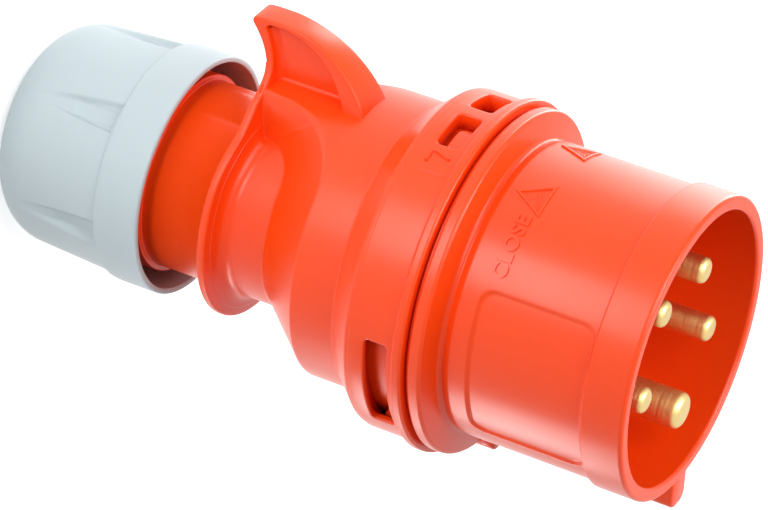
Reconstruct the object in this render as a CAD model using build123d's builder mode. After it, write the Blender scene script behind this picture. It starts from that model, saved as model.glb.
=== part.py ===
"""An industrial five-pin plug, standing on the flat end of its gland nut with the pins up.

Millimetres. The axis is Z, from the cable end (z = 0) to the mouth of the shroud.
The hand fin points to -Y and the guide key to +Y.
"""
import os
from math import atan2, cos, hypot, radians, sin, tan

from build123d import *

os.makedirs("parts", exist_ok=True)

# Lengths along the axis, from the cable end to the mouth
nut_length = 34.9
bare_neck = 12.5
guard_thickness = 2.0
waist_length = 8.8
ramp_length = 10.9
body_length = 8.1
shoulder_length = 7.1
collar_length = 11.3
twist_gap = 0.9
flange_thickness = 2.5
shroud_length = 38.0

# Outer radii
neck_radius = 18.1
guard_radius = 22.8
body_radius = 27.6
collar_radius = 32.5
lip_overhang = 1.1
flange_overhang = 0.2
shroud_radius = 27.9
band_radius = 28.75

# Walls, clearances and edge rounds
wall = 2.0
collar_wall = 2.75
running_clearance = 0.35
sliding_clearance = 0.3
seat_clearance = 0.1
fine_round = 0.3
edge_round = 0.5
soft_round = 1.0
cut_margin = 1.0

# Hand fin on the rear housing: drops are from its top, rises from the guard's rear face
fin_height = 40.1
fin_width = 5.5
fin_web = 1.8
fin_rim = 1.4
fin_foot_rim = 4.6
fin_rear_wall = 1.9
fin_root_depth = 1.0
fin_tip_overhang = 1.3
fin_tip_width = 1.6
fin_flat_rise = 5.1
fin_bow_drop = 3.7
fin_bow_rise = 16.2
fin_foot_rise = 23.1
fin_rear_drop = 6.9
fin_rear_rise = 1.0
pocket_bow_drop = 4.6
pocket_bow_rise = 13.6
pocket_root_depth = 0.6

# Saddle under the fin: half widths and rises from the guard where each outline starts
# to flare, where it passes its middle and where it runs out
saddle_half_widths = (5.2, 8.7, 19.0)
saddle_crest_rises = (3.1, 13.1, 27.6)
saddle_root_rises = (-1.4, 6.2, 16.2)
saddle_root_depth = 4.1
saddle_overlap = 5.0
ridge_round = 1.5

# Guard round the neck
guard_root = 2.2
guard_root_round = 2.0
guard_edge_round = 0.8
guard_flare_height = 1.4
guard_flare_bow = (5.0, -24.5)
guard_flare_angle = -60.0
guard_flare_round = 6.0

# Collar and bayonet
lip_length = 3.4
lip_slope_length = 1.1
window_height = 5.0
window_setback = 4.3
window_span = 46.6
window_bar_span = 8.0
window_corner = 0.9
bayonet_count = 3
bayonet_start = -98.35
barred_bayonet = 0
waist_round = 2.0
shoulder_round = 5.0
shoulder_bore_length = 5.4
lip_round = 0.8
lug_span = 11.0
lug_height = 4.0
lug_rise = 1.6
lug_lead = 23.65
twist_travel = 32.0
stop_span = 3.5
angle_clearance = 0.5

# Shroud, key and side panels
mouth_radius = 26.0
mouth_depth = 39.0
band_length = 8.55
key_width = 5.6
key_height = 34.4
key_nose_height = 36.0
key_nose_length = 1.6
key_round = 1.2
band_slope_length = 0.4
flange_round = 0.7
shroud_root_round = 3.0
mouth_round = 0.6
panel_span = 66.0
panel_setback = 6.7
panel_depth = 0.5
panel_corner = 3.0
ledge_width = 3.5
ledge_thickness = 5.0
skirt_wall = 2.6
seal_cord = 1.8
seal_land = 0.8
seal_squeeze = 0.2
seal_side_gap = 0.2

# Contacts
pin_circle = 13.9
pin_count = 5
phase_pin_radius = 2.5
earth_pin_radius = 3.5
phase_setback = 2.4
earth_setback = 0.6
pin_tip_round = 1.1
shank_thickness = 0.8
shank_rise = 0.4
barrel_radius = 4.6
barrel_length = 14.0
wire_bore_radius = 2.2
wire_bore_depth = 10.0
screw_tip_offset = 1.3
block_thickness = 7.0
post_radius = 4.5
partition_thickness = 2.0
partition_reach = 21.0
screw_radius = 1.65
screw_head_radius = 3.1
screw_head_height = 2.2
screw_slot_width = 0.9
screw_slot_depth = 0.9
barrel_flat = 0.3
fixing_margin = 0.3
fixing_radius = 1.3
fixing_head_radius = 1.9
fixing_head_height = 1.5
fixing_depth = 3.6

# Cable gland
nut_band_length = 8.4
nut_band_radius = 23.25
nut_front_radius = 22.5
nut_rear_radius = 21.5
nut_end_round = 9.0
nut_end_wall = 3.2
nut_mouth_wall = 1.15
nut_mouth_depth = 9.4
nut_mouth_taper = 1.5
nut_step_length = 1.0
cable_hole_radius = 9.0
thread_radius = 19.25
thread_length = 16.0
neck_end = 16.0
grip_count = 6
grip_floor_radius = 21.3
grip_floor_width = 3.4
grip_start_angle = -49.0
grip_flank = 35.0
grip_setback = 0.2
seal_bore_radius = 15.6
seal_shoulder = 1.6
seal_length = 12.7
cable_bore_radius = 8.7
cage_ring_height = 6.1
cage_nose_height = 0.9
cage_tip_gap = 0.7
cage_tip_wall = 1.2
cage_ring_step = 1.8
cage_finger_count = 8
cage_slit = 1.6
cage_key_width = 3.0
cage_key_length = 11.0
cage_key_outer = 18.2
cage_key_slack = 0.8

# Heights worked out from the lengths above
z_guard = nut_length + bare_neck
z_waist = z_guard + guard_thickness
z_ramp = z_waist + waist_length
z_body = z_ramp + ramp_length
z_shoulder = z_body + body_length
z_collar = z_shoulder + shoulder_length
z_split = z_collar + collar_length
z_flange = z_split + twist_gap
z_shroud = z_flange + flange_thickness
z_mouth = z_shroud + shroud_length
z_floor = z_mouth - mouth_depth
z_ledge = z_floor - ledge_thickness
z_block = z_ledge - block_thickness
z_window_top = z_split - window_setback
z_window = z_window_top - window_height
z_lug = z_window + (window_height - lug_height) / 2
z_cage_top = neck_end - sliding_clearance
z_cable_seal = z_cage_top + cage_nose_height + sliding_clearance
z_seal_shoulder = z_cable_seal + seal_length

# Radii worked out from the walls and clearances
body_bore = body_radius - wall
lip_radius = collar_radius + lip_overhang
flange_radius = collar_radius + flange_overhang
collar_bore = collar_radius - collar_wall
skirt_radius = collar_bore - running_clearance - seat_clearance
lug_radius = skirt_radius + lug_rise
groove_radius = lug_radius + sliding_clearance
skirt_bore = skirt_radius - skirt_wall
block_radius = skirt_bore - seat_clearance
fixing_reach = block_radius - fixing_margin - fixing_head_radius
ledge_bore = mouth_radius - ledge_width
neck_bore = seal_bore_radius - seal_shoulder

# The collar bore ends where its wall meets the inside of the shoulder
shoulder_angle = atan2(collar_radius - body_radius, shoulder_bore_length)
z_shoulder_bore = z_shoulder + wall * tan(shoulder_angle / 2)
z_collar_bore = z_shoulder_bore + (collar_bore - body_bore) / tan(shoulder_angle)
z_skirt = z_collar_bore + sliding_clearance

# The inside of the ramp runs parallel to its outside
ramp_angle = atan2(body_radius - neck_radius, ramp_length)
z_ramp_bore = z_body + wall * tan(ramp_angle / 2)
z_neck_bore = z_ramp_bore - (body_bore - neck_bore) / tan(ramp_angle)


def sector_block(inner, outer, start, span, bottom, height, corner=0.0):
    """Return a block bent round the axis, its four radial edges rounded by corner."""
    with BuildPart() as block:
        with BuildSketch(Plane.XY.offset(bottom)):
            with BuildLine():
                outer_arc = CenterArc((0, 0), outer, start, span)
                inner_arc = CenterArc((0, 0), inner, start, span)
                Line(outer_arc @ 0, inner_arc @ 0)
                Line(outer_arc @ 1, inner_arc @ 1)
            make_face()
        extrude(amount=height)
        if corner:
            radial_edges = block.edges().filter_by(GeomType.LINE).filter_by(Axis.Z, reverse=True)
            fillet(radial_edges, corner)
    return block.part


def axis_distance(edge):
    """Return how far the middle of an edge lies from the plug's axis."""
    middle = edge @ 0.5
    return hypot(middle.X, middle.Y)


def radial_plane(radius, angle, height):
    """Return a plane square to the radius at angle, its normal pointing outwards."""
    outward = (cos(radians(angle)), sin(radians(angle)), 0)
    origin = (radius * outward[0], radius * outward[1], height)
    return Plane(origin=origin, x_dir=(-outward[1], outward[0], 0), z_dir=outward)


# Saddle that carries the full body width back to the guard under the fin.
# Its two outlines flare into the ramp, the deeper one lower down the same slope.
saddle_outlines = (
    (body_radius + cut_margin, saddle_crest_rises),
    (neck_radius - saddle_root_depth, saddle_root_rises),
)
saddle_neck, saddle_middle, saddle_flare = saddle_half_widths
z_saddle = z_guard - saddle_overlap

with BuildPart() as saddle:
    for depth, rises in saddle_outlines:
        z_start, z_middle, z_end = [z_guard + rise for rise in rises]
        with BuildSketch(Plane.XZ.offset(depth)):
            with BuildLine():
                base = Line((0, z_saddle), (saddle_neck, z_saddle))
                side = Line(base @ 1, (saddle_neck, z_start))
                flare = ThreePointArc(side @ 1, (saddle_middle, z_middle), (saddle_flare, z_end))
                rise = Line(flare @ 1, (saddle_flare, z_shoulder))
                Line(rise @ 1, (0, z_shoulder))
                mirror(about=Plane.YZ)
            make_face()
    loft(ruled=True)
    with BuildSketch(Plane.XY.offset(z_guard)):
        Circle(body_radius)
    extrude(amount=z_shoulder - z_guard, mode=Mode.INTERSECT)

# Guard: a thin disc round the neck that rises into the rear edge of the fin
guard_top = -(body_radius + guard_flare_height)
guard_foot_x = guard_radius * cos(radians(guard_flare_angle))
guard_foot_y = guard_radius * sin(radians(guard_flare_angle))

with BuildPart() as guard:
    with BuildSketch(Plane.XY.offset(z_guard)) as guard_outline:
        Circle(guard_radius)
        with BuildLine():
            top = Line((0, guard_top), (fin_width / 2, guard_top))
            curve = ThreePointArc(top @ 1, guard_flare_bow, (guard_foot_x, guard_foot_y))
            Line(curve @ 1, (0, guard_foot_y))
            mirror(about=Plane.YZ)
        make_face()
        crossings = guard_outline.vertices().filter_by_position(
            Axis.Y, guard_top + cut_margin, guard_foot_y + cut_margin
        )
        fillet(crossings, guard_flare_round)
    extrude(amount=guard_thickness)
    fillet(guard.edges().filter_by(GeomType.CIRCLE), guard_edge_round)

# Fin: a curved T-bar with a thin web, its rear wall rising from the guard
fin_root = body_radius - fin_root_depth
fin_tip_z = z_guard - fin_tip_overhang
fin_flat_z = z_guard + fin_flat_rise
fin_bow = (-(fin_height - fin_bow_drop), z_guard + fin_bow_rise)
fin_foot_z = z_guard + fin_foot_rise
fin_rear_y = -(fin_height - fin_rear_drop)
fin_rear_z = z_guard + fin_rear_rise
pocket_top = fin_height - fin_rim
pocket_root = body_radius - pocket_root_depth
pocket_tip_z = fin_tip_z + fin_tip_width + fin_rear_wall
pocket_bow = (-(fin_height - pocket_bow_drop), z_guard + pocket_bow_rise)

with BuildPart() as fin:
    with BuildSketch(Plane.YZ):
        with BuildLine():
            top = Line((-fin_height, fin_tip_z), (-fin_height, fin_flat_z))
            brow = ThreePointArc(top @ 1, fin_bow, (-fin_root, fin_foot_z))
            root = Line(brow @ 1, (-fin_root, z_guard))
            rear_end = (-(fin_height - fin_tip_width), fin_tip_z)
            back = ThreePointArc(root @ 1, (fin_rear_y, fin_rear_z), rear_end)
            Line(back @ 1, top @ 0)
        make_face()
    extrude(amount=fin_width / 2, both=True)
    fillet(fin.edges().filter_by(Axis.X).sort_by(Axis.Z)[0:2], edge_round)
    with BuildSketch(Plane.YZ.offset(fin_web / 2)):
        with BuildLine():
            top = Line((-pocket_top, pocket_tip_z), (-pocket_top, fin_flat_z))
            brow = ThreePointArc(top @ 1, pocket_bow, (-pocket_root, fin_foot_z - fin_foot_rim))
            root = Line(brow @ 1, (-pocket_root, z_guard + fin_rear_wall))
            ThreePointArc(root @ 1, (fin_rear_y, fin_rear_z + fin_rear_wall), top @ 0)
        make_face()
    extrude(amount=fin_width, mode=Mode.SUBTRACT)
    mirror(about=Plane.YZ, mode=Mode.INTERSECT)

# Rear housing: the hand grip with the threaded neck and the bayonet collar, moulded in one
with BuildPart() as rear_housing:
    with BuildSketch(Plane.XZ):
        with BuildLine():
            FilletPolyline(
                (0, neck_end),
                (thread_radius, neck_end),
                (thread_radius, neck_end + thread_length),
                (neck_radius, neck_end + thread_length),
                (neck_radius, z_guard + guard_thickness / 2),
                (neck_radius + guard_root, z_guard + guard_thickness / 2),
                (neck_radius + guard_root, z_waist),
                (neck_radius, z_waist),
                (neck_radius, z_ramp),
                (body_radius, z_body),
                (body_radius, z_shoulder),
                (collar_radius, z_collar),
                (collar_radius, z_split - lip_length),
                (lip_radius, z_split - lip_length + lip_slope_length),
                (lip_radius, z_split),
                (0, z_split),
                radius=(
                    0,
                    edge_round,
                    edge_round,
                    edge_round,
                    0,
                    0,
                    0,
                    guard_root_round,
                    waist_round,
                    0,
                    soft_round,
                    shoulder_round,
                    soft_round,
                    lip_round,
                    edge_round,
                    0,
                ),
                close=True,
            )
        make_face()
    revolve(axis=Axis.Z)
    add(saddle.part)
    ridge = (
        rear_housing.edges()
        .filter_by_position(Axis.Z, z_waist, z_body + seat_clearance)
        .filter_by(lambda edge: abs(axis_distance(edge) - body_radius) < fine_round)
        .filter_by(lambda edge: abs((edge @ 0.5).X) > fin_web / 2)
    )
    fillet(ridge, ridge_round)
    add(guard.part)
    add(fin.part)
    with BuildSketch(Plane.XZ):
        with BuildLine():
            FilletPolyline(
                (0, neck_end),
                (seal_bore_radius, neck_end),
                (seal_bore_radius, z_seal_shoulder),
                (neck_bore, z_seal_shoulder),
                (neck_bore, z_neck_bore),
                (body_bore, z_ramp_bore),
                (body_bore, z_shoulder_bore),
                (collar_bore, z_collar_bore),
                (collar_bore, z_split),
                (0, z_split),
                radius=(0, 0, 0, 0, soft_round, waist_round, soft_round, 0, 0, 0),
                close=True,
            )
        make_face()
    revolve(axis=Axis.Z, mode=Mode.SUBTRACT)
    cut_inner = collar_bore - cut_margin
    for index in range(bayonet_count):
        centre = bayonet_start + index * 360 / bayonet_count
        groove_start = centre - lug_lead - lug_span / 2 - angle_clearance
        groove_span = lug_span + twist_travel + 2 * angle_clearance
        window_start = centre - window_span / 2
        add(
            sector_block(
                cut_inner, groove_radius, groove_start, groove_span, z_window, window_height
            ),
            mode=Mode.SUBTRACT,
        )
        entry_start = groove_start + twist_travel
        entry_span = lug_span + 2 * angle_clearance
        add(
            sector_block(
                cut_inner, groove_radius, entry_start, entry_span, z_window_top, window_setback
            ),
            mode=Mode.SUBTRACT,
        )
        if index == barred_bayonet:
            half_span = (window_span - window_bar_span) / 2
            cuts = ((window_start, half_span), (window_start + half_span + window_bar_span, half_span))
        else:
            cuts = ((window_start, window_span),)
        for cut_start, cut_span in cuts:
            add(
                sector_block(
                    cut_inner, lip_radius, cut_start, cut_span, z_window, window_height, window_corner
                ),
                mode=Mode.SUBTRACT,
            )
        add(
            sector_block(
                collar_bore, groove_radius, groove_start + groove_span, stop_span, z_window, window_height
            )
        )
    key_slot_width = cage_key_width + 2 * running_clearance
    key_slot_length = cage_key_length - sliding_clearance + cage_key_slack
    for angle in (0, 180):
        with BuildSketch(radial_plane(0, angle, neck_end)):
            Rectangle(key_slot_width, key_slot_length, align=(Align.CENTER, Align.MIN))
        extrude(amount=cage_key_outer + running_clearance, mode=Mode.SUBTRACT)

rear_housing.part.label = "rear_housing"
export_step(rear_housing.part, "parts/rear_housing.step")

# Front housing: the shroud with its key, the twist flange and the skirt with the bayonet lugs
seal_groove_floor = skirt_radius + seal_squeeze - seal_cord
z_seal_groove = z_skirt + seal_land
seal_groove_width = seal_cord + seal_side_gap
z_band = z_mouth - band_length

with BuildPart() as front_housing:
    with BuildSketch(Plane.XZ):
        with BuildLine():
            FilletPolyline(
                (skirt_bore, z_skirt),
                (skirt_radius, z_skirt),
                (skirt_radius, z_seal_groove),
                (seal_groove_floor, z_seal_groove),
                (seal_groove_floor, z_seal_groove + seal_groove_width),
                (skirt_radius, z_seal_groove + seal_groove_width),
                (skirt_radius, z_flange),
                (flange_radius, z_flange),
                (flange_radius, z_shroud),
                (shroud_radius, z_shroud),
                (shroud_radius, z_band),
                (band_radius, z_band + band_slope_length),
                (band_radius, z_mouth),
                (mouth_radius, z_mouth),
                (mouth_radius, z_floor),
                (ledge_bore, z_floor),
                (ledge_bore, z_ledge),
                (skirt_bore, z_ledge),
                radius=(
                    0,
                    fine_round,
                    0,
                    0,
                    0,
                    0,
                    fine_round,
                    edge_round,
                    flange_round,
                    shroud_root_round,
                    0,
                    fine_round,
                    mouth_round,
                    edge_round,
                    edge_round,
                    0,
                    0,
                    0,
                ),
                close=True,
            )
        make_face()
    revolve(axis=Axis.Z)
    for angle in (0, 180):
        panel_bottom = z_shroud + panel_setback
        add(
            sector_block(
                shroud_radius - panel_depth,
                band_radius + cut_margin,
                angle - panel_span / 2,
                panel_span,
                panel_bottom,
                z_band - panel_bottom,
                panel_corner,
            ),
            mode=Mode.SUBTRACT,
        )
    key_root = (shroud_radius + mouth_radius) / 2
    with BuildSketch(Plane.XY.offset(z_shroud)) as key_outline:
        with Locations((0, (key_root + key_height) / 2)):
            Rectangle(key_width, key_height - key_root)
        fillet(key_outline.vertices().group_by(Axis.Y)[-1], key_round)
    extrude(amount=shroud_length)
    with BuildSketch(Plane.XY.offset(z_flange)) as nose_outline:
        with Locations((0, (key_root + key_nose_height) / 2)):
            Rectangle(key_width, key_nose_height - key_root)
        fillet(nose_outline.vertices().group_by(Axis.Y)[-1], key_round)
    extrude(amount=flange_thickness + key_nose_length)
    for index in range(bayonet_count):
        centre = bayonet_start + index * 360 / bayonet_count
        lug_start = centre - lug_lead - lug_span / 2
        add(sector_block(skirt_radius - cut_margin, lug_radius, lug_start, lug_span, z_lug, lug_height))
    with PolarLocations(fixing_reach, 2):
        with Locations((0, 0, z_ledge)):
            Cylinder(
                fixing_radius,
                fixing_depth,
                align=(Align.CENTER, Align.CENTER, Align.MIN),
                mode=Mode.SUBTRACT,
            )

front_housing.part.label = "front_housing"
export_step(front_housing.part, "parts/front_housing.step")

# Terminal block: the insulating disc that carries the pins, with walls between the terminals
plateau_radius = ledge_bore - seat_clearance
z_terminal = z_block - barrel_length
pin_angles = [90 + index * 360 / pin_count for index in range(pin_count)]
pin_names = ("pin_earth", "pin_l1", "pin_l2", "pin_l3", "pin_neutral")
pin_radii = (earth_pin_radius,) + (phase_pin_radius,) * (pin_count - 1)

with BuildPart() as terminal_block:
    with BuildSketch(Plane.XZ):
        with BuildLine():
            Polyline(
                (0, z_block),
                (block_radius, z_block),
                (block_radius, z_ledge),
                (plateau_radius, z_ledge),
                (plateau_radius, z_floor),
                (0, z_floor),
                close=True,
            )
        make_face()
    revolve(axis=Axis.Z)
    with BuildSketch(Plane.XY.offset(z_terminal)):
        Circle(post_radius)
        for angle in pin_angles:
            with PolarLocations(0, 1, start_angle=angle + 180 / pin_count):
                Rectangle(partition_reach, partition_thickness, align=(Align.MIN, Align.CENTER))
    extrude(amount=barrel_length)
    for angle, radius in zip(pin_angles, pin_radii):
        with BuildSketch(Plane.XY.offset(z_block)):
            with PolarLocations(pin_circle, 1, start_angle=angle):
                Circle(radius + shank_thickness + seat_clearance / 2)
        extrude(amount=z_floor - z_block, mode=Mode.SUBTRACT)
    with BuildSketch(Plane.XY.offset(z_block)):
        with PolarLocations(fixing_reach, 2):
            Circle(fixing_radius + seat_clearance)
    extrude(amount=block_thickness, mode=Mode.SUBTRACT)

terminal_block.part.label = "terminal_block"
export_step(terminal_block.part, "parts/terminal_block.step")

# Pins: turned brass, each with a round nose, a thicker shank through the block and a screw terminal
z_screw = z_terminal + barrel_length / 2
screw_seat = pin_circle + barrel_radius - barrel_flat

for name, angle, radius in zip(pin_names, pin_angles, pin_radii):
    setback = earth_setback if name == "pin_earth" else phase_setback
    outward = Vector(1, 0, 0).rotate(Axis.Z, angle)
    pin_axis = Plane(origin=outward * pin_circle, x_dir=outward, z_dir=(0, 0, 1))
    with BuildPart() as pin:
        with BuildSketch(Plane(pin_axis.origin, x_dir=pin_axis.x_dir, z_dir=-pin_axis.y_dir)):
            with BuildLine():
                FilletPolyline(
                    (0, z_terminal),
                    (barrel_radius, z_terminal),
                    (barrel_radius, z_block),
                    (radius + shank_thickness, z_block),
                    (radius + shank_thickness, z_floor + shank_rise),
                    (radius, z_floor + shank_rise),
                    (radius, z_mouth - setback),
                    (0, z_mouth - setback),
                    radius=(0, edge_round, 0, 0, 0, 0, pin_tip_round, 0),
                    close=True,
                )
            make_face()
        revolve(axis=Axis(pin_axis.origin, (0, 0, 1)))
        with BuildSketch(pin_axis.offset(z_terminal)):
            Circle(wire_bore_radius)
        extrude(amount=wire_bore_depth, mode=Mode.SUBTRACT)
        with BuildSketch(radial_plane(screw_seat, angle, z_screw)):
            Circle(screw_head_radius + seat_clearance)
        extrude(amount=barrel_radius, mode=Mode.SUBTRACT)
        with BuildSketch(radial_plane(pin_circle, angle, z_screw)):
            Circle(screw_radius)
        extrude(amount=barrel_radius, mode=Mode.SUBTRACT)
    pin.part.label = name
    export_step(pin.part, f"parts/{name}.step")

# Terminal screws: one slotted screw on each pin, driven from outside
screw_reach = pin_circle + screw_tip_offset

with BuildPart() as terminal_screws:
    for angle in pin_angles:
        with BuildSketch(radial_plane(screw_reach, angle, z_screw)):
            Circle(screw_radius)
        extrude(amount=screw_seat - screw_reach)
        with BuildSketch(radial_plane(screw_seat, angle, z_screw)):
            Circle(screw_head_radius)
        extrude(amount=screw_head_height)
        with BuildSketch(radial_plane(screw_seat + screw_head_height - screw_slot_depth, angle, z_screw)):
            Rectangle(screw_slot_width, 2 * (screw_head_radius + cut_margin))
        extrude(amount=screw_slot_depth, mode=Mode.SUBTRACT)

terminal_screws.part.label = "terminal_screws"
export_step(terminal_screws.part, "parts/terminal_screws.step")

# Fixing screws: two screws that hold the terminal block against the ledge
with BuildPart() as fixing_screws:
    with BuildSketch(Plane.XY.offset(z_block - fixing_head_height)):
        with PolarLocations(fixing_reach, 2):
            Circle(fixing_head_radius)
    extrude(amount=fixing_head_height)
    with BuildSketch(Plane.XY.offset(z_block)):
        with PolarLocations(fixing_reach, 2):
            Circle(fixing_radius)
    extrude(amount=block_thickness + fixing_depth)
    with BuildSketch(Plane.XY.offset(z_block - fixing_head_height)):
        with PolarLocations(fixing_reach, 2):
            Rectangle(screw_slot_width, 2 * (fixing_head_radius + cut_margin))
    extrude(amount=screw_slot_depth, mode=Mode.SUBTRACT)

fixing_screws.part.label = "fixing_screws"
export_step(fixing_screws.part, "parts/fixing_screws.step")

# Housing seal: a rubber ring in the skirt's groove, behind the windows
with BuildPart() as housing_seal:
    with Locations((0, 0, z_seal_groove + seal_groove_width / 2)):
        Torus(seal_groove_floor + seal_cord / 2, seal_cord / 2)

housing_seal.part.label = "housing_seal"
export_step(housing_seal.part, "parts/housing_seal.step")

# Cable seal: a rubber sleeve that seats on the shoulder inside the neck
with BuildPart() as cable_seal:
    with BuildSketch(Plane.XZ):
        with BuildLine():
            FilletPolyline(
                (cable_bore_radius, z_cable_seal),
                (seal_bore_radius - seat_clearance, z_cable_seal),
                (seal_bore_radius - seat_clearance, z_seal_shoulder),
                (cable_bore_radius, z_seal_shoulder),
                radius=(soft_round, edge_round, fine_round, soft_round),
                close=True,
            )
        make_face()
    revolve(axis=Axis.Z)

cable_seal.part.label = "cable_seal"
export_step(cable_seal.part, "parts/cable_seal.step")

# Clamp cage: a ring of fingers that the nut's cone closes on the cable, keyed to the neck
z_cage_ring = z_cage_top - cage_ring_height
z_cage_tip = nut_end_wall + cage_tip_gap
cage_tip_radius = cable_hole_radius + cage_tip_wall
cage_cone_radius = cage_key_outer - cage_ring_step
cage_nose_radius = seal_bore_radius - running_clearance
cage_key_inner = seal_bore_radius + running_clearance

with BuildPart() as clamp_cage:
    with BuildSketch(Plane.XZ):
        with BuildLine():
            Polyline(
                (cable_hole_radius, z_cage_tip),
                (cage_tip_radius, z_cage_tip),
                (cage_cone_radius, z_cage_ring),
                (cage_key_outer, z_cage_ring),
                (cage_key_outer, z_cage_top),
                (cage_nose_radius, z_cage_top),
                (cage_nose_radius, z_cage_top + cage_nose_height),
                (cable_hole_radius, z_cage_top + cage_nose_height),
                close=True,
            )
        make_face()
    revolve(axis=Axis.Z)
    with BuildSketch(Plane.XY.offset(z_cage_tip)):
        with PolarLocations(0, cage_finger_count):
            Rectangle(cage_key_outer, cage_slit, align=(Align.MIN, Align.CENTER))
    extrude(amount=z_cage_ring - z_cage_tip, mode=Mode.SUBTRACT)
    with BuildSketch(Plane.XY.offset(z_cage_top)):
        with PolarLocations((cage_key_inner + cage_key_outer) / 2, 2):
            Rectangle(cage_key_outer - cage_key_inner, cage_key_width)
    extrude(amount=cage_key_length)

clamp_cage.part.label = "clamp_cage"
export_step(clamp_cage.part, "parts/clamp_cage.step")

# Gland nut: the pale cap with a plain rim and six grip channels that run out at its round end
z_nut_band = nut_length - nut_band_length
z_nut_mouth = nut_length - nut_mouth_depth
z_nut_cone = z_cage_ring - running_clearance
nut_bore_radius = thread_radius + running_clearance
nut_mouth_radius = nut_band_radius - nut_mouth_wall
grip_opening = grip_floor_width + 2 * (nut_band_radius - grip_floor_radius) * tan(radians(grip_flank))

with BuildPart() as gland_nut:
    with BuildSketch(Plane.XZ):
        with BuildLine():
            FilletPolyline(
                (cable_hole_radius, 0),
                (nut_rear_radius, 0),
                (nut_front_radius, z_nut_band - nut_step_length),
                (nut_band_radius, z_nut_band),
                (nut_band_radius, nut_length),
                (nut_mouth_radius, nut_length),
                (nut_mouth_radius, z_nut_mouth),
                (nut_bore_radius, z_nut_mouth - nut_mouth_taper),
                (nut_bore_radius, z_nut_cone),
                (cage_cone_radius + running_clearance, z_nut_cone),
                (cage_tip_radius + running_clearance, nut_end_wall),
                (cable_hole_radius, nut_end_wall),
                radius=(
                    fine_round,
                    nut_end_round,
                    fine_round,
                    fine_round,
                    edge_round,
                    fine_round,
                    edge_round,
                    fine_round,
                    edge_round,
                    0,
                    0,
                    fine_round,
                ),
                close=True,
            )
        make_face()
    revolve(axis=Axis.Z)
    with BuildSketch(Plane.XY):
        with PolarLocations(0, grip_count, start_angle=grip_start_angle):
            Polygon(
                (grip_floor_radius, -grip_floor_width / 2),
                (nut_band_radius, -grip_opening / 2),
                (nut_band_radius, grip_opening / 2),
                (grip_floor_radius, grip_floor_width / 2),
                align=None,
            )
    extrude(amount=z_nut_band - grip_setback, mode=Mode.SUBTRACT)

gland_nut.part.label = "gland_nut"
export_step(gland_nut.part, "parts/gland_nut.step")
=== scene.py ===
"""A red five-pin industrial plug with a grey gland nut, for looks, in the frame of its CAD model.

Outlines are worked out in millimetres and made metres as each mesh is made. The axis is Z, from the
cable end to the mouth of the shroud; the hand fin points to -Y and the guide key to +Y.
"""

from math import atan2, cos, degrees, hypot, pi, radians, sin, sqrt, tan

import bpy
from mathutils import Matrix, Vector


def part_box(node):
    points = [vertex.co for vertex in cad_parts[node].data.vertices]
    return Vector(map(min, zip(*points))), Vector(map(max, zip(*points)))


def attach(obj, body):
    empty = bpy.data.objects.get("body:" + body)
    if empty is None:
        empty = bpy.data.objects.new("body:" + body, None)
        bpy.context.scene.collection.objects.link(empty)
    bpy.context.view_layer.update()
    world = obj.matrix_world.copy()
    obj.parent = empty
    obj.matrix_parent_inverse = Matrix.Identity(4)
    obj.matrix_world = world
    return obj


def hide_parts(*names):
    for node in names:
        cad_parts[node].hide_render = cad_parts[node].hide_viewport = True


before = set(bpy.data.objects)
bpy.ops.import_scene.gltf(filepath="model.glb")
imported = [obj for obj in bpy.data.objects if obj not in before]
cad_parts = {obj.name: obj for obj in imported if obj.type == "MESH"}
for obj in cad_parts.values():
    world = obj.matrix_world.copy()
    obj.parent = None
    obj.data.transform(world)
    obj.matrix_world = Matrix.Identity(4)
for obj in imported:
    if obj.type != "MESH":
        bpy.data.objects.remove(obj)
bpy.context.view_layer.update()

# Rear housing: the hand grip, moulded in one in red polyamide. A threaded neck takes the gland nut,
# the body's full width runs back over the waist under the fin, and the collar at the front has
# windows over the bayonet grooves.
MM = 0.001


def smoothstep(start, end, value):
    """Return 0 before the start, 1 past the end and a smooth rise between them."""
    part = min(max((value - start) / (end - start), 0.0), 1.0)
    return part * part * (3 - 2 * part)


def rounded(corners):
    """Return the closed outline through corners (r, z, radius, steps), each turned into an arc.

    A corner with no steps stays a plain point. An arc keeps clear of its neighbours, and has a
    point just before and just after it, so that the flats beside it shade flat.
    """
    outline = []
    for index, (r, z, radius, steps) in enumerate(corners):
        if not steps:
            outline.append((r, z))
            continue
        here = Vector((r, z))
        back = Vector(corners[index - 1][:2]) - here
        ahead = Vector(corners[(index + 1) % len(corners)][:2]) - here
        half_turn = back.angle(ahead) / 2
        room = [
            side.length * (0.45 if corners[other % len(corners)][3] else 0.85)
            for side, other in ((back, index - 1), (ahead, index + 1))
        ]
        straight = half_turn > 1.5
        reach = 0.6 * min(room) if straight else min(radius / tan(half_turn), *room)
        back.normalize()
        ahead.normalize()
        start, end = here + back * reach, here + ahead * reach
        centre = here + (back + ahead).normalized() * (reach / cos(half_turn))
        outline.append(tuple(start + back * (0.12 * reach)))
        for step in range(steps + 1):
            if straight:
                outline.append(tuple(start.lerp(end, step / steps)))
                continue
            spoke = (start - centre).slerp(end - centre, step / steps)
            outline.append(tuple(centre + spoke * (reach * tan(half_turn))))
        outline.append(tuple(end + ahead * (0.12 * reach)))
    return outline


def ring_angles(spacing, exact=()):
    """Return angles in degrees round the axis at the spacing, with the exact ones among them."""
    exact = sorted(angle % 360 for angle in exact)
    even = [step * spacing for step in range(round(360 / spacing))]
    free = [
        angle
        for angle in even
        if all(abs((angle - other + 180) % 360 - 180) > 0.45 * spacing for other in exact)
    ]
    return sorted(free + exact)


def ring_faces(turns, width, first=0):
    """Return the quads of a closed ring of closed sections, by turn and place in the section."""
    faces = {}
    for turn in range(turns):
        low, high = first + turn * width, first + (turn + 1) % turns * width
        for k in range(width):
            after = (k + 1) % width
            faces[turn, k] = (low + k, high + k, high + after, low + after)
    return faces


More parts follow.
